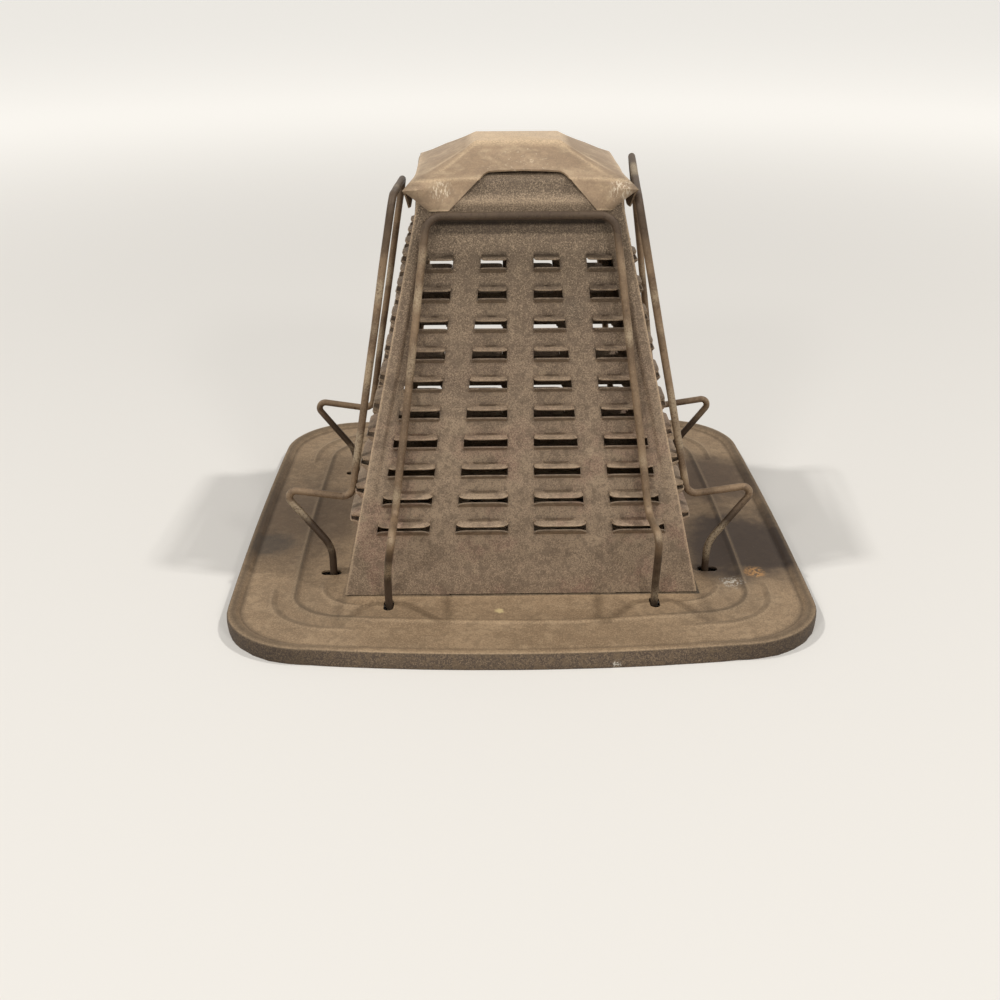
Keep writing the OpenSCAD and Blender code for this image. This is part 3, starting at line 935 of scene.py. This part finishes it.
def cut_tools():
    """The heat holes, the foot slots and the tabs' holes as one object for the cut."""
    bm = bmesh.new()
    grid = [(number - (HOLES_ACROSS - 1) / 2) * HOLE_PITCH for number in range(HOLES_ACROSS)]
    for y in grid:
        for x in grid:
            bmesh.ops.translate(bm, vec=Vector((x, y, PLATE_TOP)), verts=add_drum(bm, HOLE_RADIUS, 20))
    for side, turn in WALL_TURNS.items():
        for way in (-1, 1):
            verts = add_drum(bm, SLOT_HALF, 24)
            for vert in verts:
                stretch = SLOT_OUT - SLOT_HALF if vert.co.y < 0 else SLOT_IN - SLOT_HALF
                vert.co.y += math.copysign(stretch, vert.co.y)
            foot = Vector((way * FOOT_HALVES[side], -FOOT_RADIUS, PLATE_TOP))
            bmesh.ops.translate(bm, vec=foot, verts=verts)
            half = TAB_HALF + TAB_AIR
            low = Vector((way * TAB_OFFSET - half, -TAB_HOLE_OUT, PLATE_TOP - CUT_DEPTH / 2))
            verts += add_block(bm, low, low + Vector((2 * half, TAB_HOLE_WIDTH, CUT_DEPTH)))
            turn_about_z(bm, turn, verts)
    return object_from(bm, "cutter")


def cut_holes(bm):
    """The bmesh with its holes cut by a boolean, as a new bmesh."""
    blank = object_from(bm, "blank")
    cutter = cut_tools()
    step = blank.modifiers.new("cut", "BOOLEAN")
    step.operation = "DIFFERENCE"
    step.solver = "EXACT"
    step.object = cutter
    result = bmesh.new()
    result.from_object(blank, bpy.context.evaluated_depsgraph_get())
    for thing in (blank, cutter):
        bpy.data.objects.remove(thing)
    return result


pan = pan_surface()
thicken(pan, Vector((0, 0, 1)), PLATE_SHEET)
make_piece(cut_holes(pan), "tin_pan", pan_tin, "frame", "base_plate")

# %% [markdown]
# ## The cap
#
# The cap is a square of sheet folded down over the pyramid's top: a small flat
# top, four sloping sides, and four flaps with a notch cut in each. At the
# corners the spare sheet is pinched into ears. It was bent by hand, so no two
# sides are quite alike: each quarter is shaped from a grid of its own, turned
# to its side, and the four are joined along the diagonals.

# %% Rows of the cap
CAP_FLAT = {"front": 10.6, "back": 10.6, "right": 14.6, "left": 14.6}
CAP_AIR = {"front": 0.97, "back": 0.97, "right": 2.3, "left": 2.3}
CAP_TOP = cap_high.z
CAP_FOLD = 146.5
CAP_LOW = cap_low.z
EAR_START = 149.4
EAR_SPREAD = 0.9
EAR_TIP_HEIGHT = 143.8
EAR_TIPS = {"front": 39.0, "back": 36.5}
EAR_DROOP = {"front": 0.6, "back": 2.6}
NOTCH_LOW = {-1: 24.0, 1: 25.8}
NOTCH_HIGH = {-1: 13.2, 1: 16.2}
NOTCH_TOP = 148.3
FLAP_END = 30.4
CAP_SHEET = 0.6


def cap_plane(z, side_name):
    """Distance from the middle of the cap's outer surface, on roof and flap."""
    if z <= CAP_FOLD:
        return wall_half(z) + CAP_AIR[side_name]
    fold = wall_half(CAP_FOLD) + CAP_AIR[side_name]
    return lerp(fold, CAP_FLAT[side_name], (z - CAP_FOLD) / (CAP_TOP - CAP_FOLD))


def cap_rows():
    """Heights of the grid's rows, from the flat top down to the flap's edge."""
    roof = [155.5, 155.2, 153.8, 152.0, 150.6, EAR_START, NOTCH_TOP, 147.7, 147.1, 146.8]
    flap = [146.5, 146.1, 145.4, 144.6, EAR_TIP_HEIGHT, 142.4, 141.0, 139.6, 138.2, 137.2, CAP_LOW]
    return roof + flap


def notch_at(z, way):
    """Half the notch's width at a height, to one side; its upper corners are rounded."""
    straight = lerp(NOTCH_LOW[way], NOTCH_HIGH[way], min((z - CAP_LOW) / (CAP_FOLD + 0.4 - CAP_LOW), 1.0))
    return straight - 2.6 * max((z - CAP_FOLD) / (NOTCH_TOP - CAP_FOLD), 0.0) ** 2


def corner_of(side_name, way):
    """Whether the corner at this end of a side is one at the back or one in front."""
    rear = side_name == "back" or (side_name, way) in (("left", -1), ("right", 1))
    return "back" if rear else "front"


def corner_at(z, side_name, way):
    """Where a row ends, as (along, outward): out to the ear's tip, then back along its lower edge."""
    beside = "front" if side_name in ("left", "right") else "left"
    tip = EAR_TIPS[corner_of(side_name, way)]
    if z >= CAP_FOLD:
        spread = EAR_SPREAD * max((EAR_START - z) / (EAR_START - CAP_FOLD), 0.0) ** 1.5
        return Vector((cap_plane(z, beside) + spread, cap_plane(z, side_name) + spread))
    if z >= EAR_TIP_HEIGHT:
        start = corner_at(CAP_FOLD, side_name, way)
        return start.lerp(Vector((tip, tip)), ((CAP_FOLD - z) / (CAP_FOLD - EAR_TIP_HEIGHT)) ** 0.8)
    share = (EAR_TIP_HEIGHT - z) / (EAR_TIP_HEIGHT - CAP_LOW)
    return Vector((lerp(tip, FLAP_END, share), lerp(tip, cap_plane(CAP_LOW, side_name) + 0.3, share ** 0.6)))


print(len(cap_rows()), "rows in the cap")

# %% Marks on the cap
def cap_wear_and_highlight(z, side, share, hip):
    """Bare metal along the folds, the hips and the flaps' lower edge, and painted highlights along the flat
    top's edge and on the ears' creases.
    """
    edge = hump(z, CAP_FOLD, 0.5) + 1.6 * hump(z, CAP_TOP - 0.2, 0.6)
    crease = hump(share, 0.45, 0.07) * hump(z, 143.6, 1.5) if side else 0.0
    lower_edge = smooth_step(CAP_LOW + 0.5, CAP_LOW, z)
    return min(1.0, 0.3 * edge + 0.3 * hip + 0.3 * crease + 0.4 * lower_edge)


def cap_soot_and_shade(z, side, share, bend):
    """Painted shade in the ears' bends, and soot on their tips."""
    tip = smooth_step(0.72, 1.0, share if side else 0.0) * fall(CAP_FOLD, CAP_FOLD + 2, z)
    return 0.12 * bend * fall(CAP_FOLD - 1, EAR_START, z) + 0.3 * tip


print("soot at an ear's tip:", round(cap_soot_and_shade(EAR_TIP_HEIGHT, 1, 1.0, 1.0), 2))

# %% Building the cap
CAP_COLUMNS = 8
EAR_COLUMNS = 10


def cap_quarter(bm, side_name):
    """Adds the quarter of the cap over one side of the pyramid, from diagonal to diagonal."""
    rows = cap_rows()
    lines = [(-1, k / EAR_COLUMNS) for k in range(EAR_COLUMNS, 0, -1)]
    lines += [(0, k / CAP_COLUMNS * 2 - 1) for k in range(CAP_COLUMNS + 1)]
    lines += [(1, k / EAR_COLUMNS) for k in range(1, EAR_COLUMNS + 1)]
    wear_and_highlight = bm.verts.layers.float["wear_and_highlight"]
    soot_and_shade = bm.verts.layers.float["soot_and_shade"]
    made = bmesh.ops.create_grid(bm, x_segments=len(lines) - 1, y_segments=len(rows) - 1, size=1.0)["verts"]
    ordered = sorted(made, key=lambda vert: (-round(vert.co.y, 5), round(vert.co.x, 5)))
    notch_end = NOTCH_TOP if side_name in ("front", "back") else CAP_FOLD
    inner = set()
    for index, vert in enumerate(ordered):
        j, i = divmod(index, len(lines))
        z = rows[j]
        side, share = lines[i]
        plane = cap_plane(z, side_name)
        way = side or (1 if share > 0 else -1)
        notch = notch_at(min(z, NOTCH_TOP), way)
        if z > NOTCH_TOP:
            notch = lerp(notch, plane * 0.55, (z - NOTCH_TOP) / (CAP_TOP - NOTCH_TOP))
        corner = corner_at(z, side_name, way)
        bend = 0.0
        if side == 0:
            x, y = share * notch, plane
            if z <= notch_end:
                inner.add(vert)
        else:
            bend = smooth_step(0.35, 1.0, share)
            x = side * lerp(notch, corner.x, share)
            y = lerp(plane, corner.y, bend if z < EAR_START else 0.0)
        roof = smooth_step(CAP_FOLD, CAP_FOLD + 3, z) * fall(CAP_TOP - 3, CAP_TOP, z)
        across = abs(x) / max(corner.x, 1.0)
        dish = 0.9 * roof * across ** 3
        arch = 0.45 * (1 - (x / notch_at(NOTCH_TOP, way)) ** 2) if z == NOTCH_TOP and side == 0 else 0.0
        fixed = 1 - (share if side else 0.0)
        wave = 0.25 * noise.noise(Vector((x / 12, z / 6, 3.3))) * fixed * (0.3 if z > CAP_TOP - 0.4 else 1.0)
        crumple = 0.35 * noise.noise(Vector((x / 4, z / 3, 7.7))) * 4 * bend * (1 - bend)
        crumple *= smooth_step(EAR_START, CAP_FOLD, z)
        droop = EAR_DROOP[corner_of(side_name, way)] * (share * share if side else 0.0)
        droop *= hump(z, CAP_FOLD, 2.4)
        vert.co = Vector((x, -(y + wave + crumple), z - dish + arch - droop))
        vert[wear_and_highlight] = cap_wear_and_highlight(z, side, share, roof * hump(across, 0.9, 0.04))
        vert[soot_and_shade] = cap_soot_and_shade(z, side, share, bend)
    gone = {face for vert in inner for face in vert.link_faces if all(other in inner for other in face.verts)}
    bmesh.ops.delete(bm, geom=list(gone), context="FACES")
    turn_about_z(bm, WALL_TURNS[side_name], [vert for vert in made if vert.is_valid])


def build_cap():
    bm = bmesh.new()
    bm.verts.layers.float.new("wear_and_highlight")
    bm.verts.layers.float.new("soot_and_shade")
    for side_name in WALL_TURNS:
        cap_quarter(bm, side_name)
    bmesh.ops.remove_doubles(bm, verts=bm.verts, dist=0.02)
    rim = [edge for edge in bm.edges
           if edge.is_boundary and min(vert.co.z for vert in edge.verts) > CAP_TOP - 0.05]
    bmesh.ops.contextual_create(bm, geom=rim)
    thicken(bm, Vector((0, 0, 1)), CAP_SHEET)
    make_piece(bm, "tin_cap", cap_tin, "frame", "cap", sharp=24)


build_cap()

# %% [markdown]
# ## The wire racks
#
# Each rack is one length of wire: a turned foot under the pan, an upright, a
# pointed loop that is the bread ledge, a long leaning leg, the top bar, and
# the same again on the other side. Its line is a few corners joined by round
# bends, and a circle is extruded along it point by point, which keeps the tube
# one closed skin. A bevelled curve would give the same form, but not the soot
# and painted shade, and the wear and painted highlights, that each vertex
# carries. The side racks are a little bent out of shape, so their two ends have
# sizes of their own. Plain noise makes the wire slightly uneven. It is the same
# on every run, while Blender's vector noise starts from the clock unless it is seeded.

# %% Line of a rack
WIRE_RADIUS = 1.35
BENDS = (2.2, 14.0, 2.6, 4.0, 6.0)
HINGE_HEIGHT = 2.55
LEDGE_REACH = 25.8
LEDGE_HEIGHT = 30.5
LEDGE_TILT = math.radians(8.6)
KNEE_HEIGHT = 11.0
FOOT_TURN = 9.0
LEDGE_RADIUS = 61.0
LEDGE_HALVES = {"front": (44.3, 44.8), "back": (43.8, 43.8), "left": (45.0, 45.0), "right": (45.0, 45.0)}
TIP_HALVES = {"front": (43.7, 44.9), "back": (44.9, 44.9), "left": (45.3, 45.3), "right": (45.3, 45.3)}
TOP_HALVES = {"front": (31.3, 31.6), "back": (31.0, 31.0), "left": (38.0, 38.0), "right": (38.0, 38.0)}
TOP_DROPS = {"front": (-0.8, -0.8), "back": (0, 0), "left": (7.7, -0.2), "right": (1.4, -1.0)}
TOP_OUT = {"front": (0, 0), "back": (0, 0), "left": (3.0, 1.7), "right": (-1.4, 4.9)}


def rack_corners(side_name, top_radius, top_height):
    """The corners of a rack's line, from its left turned foot to its right one."""
    tip = LEDGE_RADIUS + LEDGE_REACH
    tip_height = PLATE_TOP + LEDGE_HEIGHT + LEDGE_REACH * math.tan(LEDGE_TILT)
    lines = []
    for number, way in enumerate((-1, 1)):
        foot = way * FOOT_HALVES[side_name]
        ledge = way * LEDGE_HALVES[side_name][number]
        loop = way * TIP_HALVES[side_name][number]
        top = way * TOP_HALVES[side_name][number]
        top_out = top_radius + TOP_OUT[side_name][number]
        lines.append([
            Vector((foot - way * FOOT_TURN, -FOOT_RADIUS, HINGE_HEIGHT)),
            Vector((foot, -FOOT_RADIUS, HINGE_HEIGHT)),
            Vector((foot, -FOOT_RADIUS, PLATE_TOP + KNEE_HEIGHT)),
            Vector((loop, -tip, tip_height)),
            Vector((ledge, -LEDGE_RADIUS, PLATE_TOP + LEDGE_HEIGHT)),
            Vector((top, -top_out, top_height - TOP_DROPS[side_name][number])),
        ])
    return lines[0] + lines[1][::-1]


def rounded_line(corners, bends, step=0.14):
    """The corners joined by straight runs and round bends, as closely spaced points."""
    points = [corners[0]]
    for number in range(1, len(corners) - 1):
        before, here, after = corners[number - 1:number + 2]
        way_in = (here - before).normalized()
        way_out = (after - here).normalized()
        angle = way_in.angle(way_out)
        radius = bends[number - 1]
        trim = radius * math.tan(angle / 2)
        start = here - way_in * trim
        inward = (way_out - way_in * way_out.dot(way_in)).normalized()
        centre = start + inward * radius
        count = max(3, int(angle / step))
        for part in range(count + 1):
            turn = angle * part / count
            points.append(centre - inward * radius * math.cos(turn) + way_in * radius * math.sin(turn))
    points.append(corners[-1])
    return points


def spaced(points, gap):
    """The same line with points no further apart than gap."""
    line = [points[0]]
    for point in points[1:]:
        count = max(1, math.ceil((point - line[-1]).length / gap))
        start = line[-1]
        line += [start.lerp(point, part / count) for part in range(1, count + 1)]
    return line


print("wire", 2 * WIRE_RADIUS, "mm thick")

# %% Building the racks
WIRE_SIDES = 14
INSIDE_BOX = 0.03


def sweep_wire(bm, line):
    """A closed tube of the wire's radius along a line: one circle, extruded point by point."""
    side = Vector((0, 0, 1))
    ahead = (line[1] - line[0]).normalized()
    across = ahead.cross(side).normalized()
    bm.verts.layers.float.new("wear_and_highlight")
    bm.verts.layers.float.new("soot_and_shade")
    bmesh.ops.create_circle(bm, cap_ends=True, segments=WIRE_SIDES, radius=WIRE_RADIUS)
    cap = bm.faces[:]
    frame_now = Matrix((across, ahead.cross(across), ahead)).transposed()
    bmesh.ops.transform(bm, matrix=Matrix.Translation(line[0]) @ frame_now.to_4x4(), verts=bm.verts)
    for number in range(1, len(line)):
        here = line[number]
        follow = line[min(number + 1, len(line) - 1)]
        target = ((here - line[number - 1]).normalized() + (follow - here).normalized()).normalized()
        made = bmesh.ops.extrude_discrete_faces(bm, faces=cap)["faces"]
        verts = made[0].verts[:]
        turn = ahead.rotation_difference(target).to_matrix()
        bmesh.ops.translate(bm, vec=here - line[number - 1], verts=verts)
        bmesh.ops.rotate(bm, cent=here, matrix=turn, verts=verts)
        ahead = target
        cap = made


def build_rack(side, seed):
    """One rack: its line, a little uneven, swept and turned to its wall."""
    low, high = mm_box("rack_" + side)
    inner = min(abs(low.y), abs(high.y)) if side in ("front", "back") else min(abs(low.x), abs(high.x))
    to_middle = WIRE_RADIUS + INSIDE_BOX
    corners = rack_corners(side, inner + to_middle, high.z - to_middle)
    line = spaced(rounded_line(corners, BENDS + BENDS[::-1]), 4.0)
    for point in line:
        free = smooth_step(8, 20, point.z)
        shake_across = noise.noise(Vector((point.x / 22, point.z / 22, seed)))
        shake_out = noise.noise(Vector((point.x / 22, point.z / 22, seed + 50)))
        point += Vector((0.35 * shake_across, 0.18 * shake_out, 0.0)) * free
    bm = bmesh.new()
    sweep_wire(bm, line)
    wear_and_highlight = bm.verts.layers.float["wear_and_highlight"]
    soot_and_shade = bm.verts.layers.float["soot_and_shade"]
    tip = LEDGE_RADIUS + LEDGE_REACH
    for vert in bm.verts:
        x, out, z = vert.co.x, -vert.co.y, vert.co.z
        # Painted shade on the low feet and ledges and along the top bar, where the wire lies in shade.
        vert[soot_and_shade] = max(0.9 * fall(26, 37, z), 0.8 * smooth_step(118, 134, z))
        # Real worn patches at random, and a painted highlight on each ledge's tip.
        patch = 0.6 * smooth_step(0.15, 0.4, noise.noise(Vector((x / 30, z / 7, seed))))
        vert[wear_and_highlight] = max(0.8 * smooth_step(tip - 4, tip - 1, out) * smooth_step(36, 39, z), patch)
    bmesh.ops.recalc_face_normals(bm, faces=bm.faces)
    turn_about_z(bm, WALL_TURNS[side], bm.verts)
    make_piece(bm, "wire_rack_" + side, wire_steel, "rack_" + side, "rack_" + side, sharp=50)


for seed, side in enumerate(("front", "back", "left", "right")):
    build_rack(side, 3.0 * seed + 0.4)

# %% [markdown]
# ## Floor and light
#
# The object stands on a wide, plain, pale floor. A room's lights are copied by
# four lamps, two above it and two in front, and by the pale light of the world
# around. They are bright enough for each colour to look about as it is written.
# Away from the object the floor glows a little, only for what the camera sees,
# so that it stays as pale as in the photograph without more light on the tin.

# %% Floor and light
FLOOR_HALF = 14.0
FLOOR_COLOUR = (0.745, 0.725, 0.69, 1.0)
FLOOR_GLOW = (0.55, 0.535, 0.505, 1.0)
NO_GLOW = (0.0, 0.0, 0.0, 1.0)
LIT_PLACE = (0, -0.9, 0)
LAMP_TINT = (1.0, 0.98, 0.95)
ROOM_LIGHT = (0.31, 0.304, 0.295, 1.0)
ROOM_SEEN = (0.80, 0.785, 0.75, 1.0)


def add_floor():
    """The floor in metres, with its glow for the camera away from the object and the lamps."""
    bm = bmesh.new()
    bmesh.ops.create_grid(bm, x_segments=2, y_segments=2, size=FLOOR_HALF)
    paint = Paint("floor_pale")
    away = paint.node("ShaderNodeVectorMath", {"operation": "LENGTH"}, [paint.place], "Value")
    unlit = paint.node("ShaderNodeVectorMath", {"operation": "DISTANCE"}, [paint.place, LIT_PLACE], "Value")
    glow = away.between(0.1, 1.5) * (0.35 + 0.65 * unlit.between(0.5, 2.2))
    inputs = paint.shader.inputs
    paint.feed(inputs["Emission Color"], paint.mix(glow * paint.seen(), NO_GLOW, FLOOR_GLOW))
    inputs["Emission Strength"].default_value = 1.0
    inputs["Base Color"].default_value = FLOOR_COLOUR
    inputs["Roughness"].default_value = 0.9
    floor = object_from(bm, "floor")
    floor.data.materials.append(paint.material)


def add_lamp(name, place, target, size, power):
    """A square lamp in metres and watts, aimed at a point."""
    data = bpy.data.lights.new(name, "AREA")
    data.shape = "SQUARE"
    data.size = size
    data.energy = power
    data.color = LAMP_TINT
    lamp = bpy.data.objects.new(name, data)
    lamp.location = place
    lamp.rotation_euler = (Vector(target) - Vector(place)).to_track_quat("-Z", "Y").to_euler()
    scene.collection.objects.link(lamp)


add_floor()
for side in (-1, 1):
    add_lamp("top_lamp", (side * 0.75, -0.12, 1.3), (0, 0, 0.05), 0.08, 8.3)
    add_lamp("front_lamp", (side * 0.55, -1.05, 0.72), (0, 0, 0.06), 0.16, 3.1)
world = bpy.data.worlds.new("room")
world.use_nodes = True
room = Tree(world.node_tree)
room.feed(room.tree.nodes["Background"].inputs["Color"], room.mix(room.seen(), ROOM_LIGHT, ROOM_SEEN))
scene.world = world
print("floor, four lamps and the room's light")
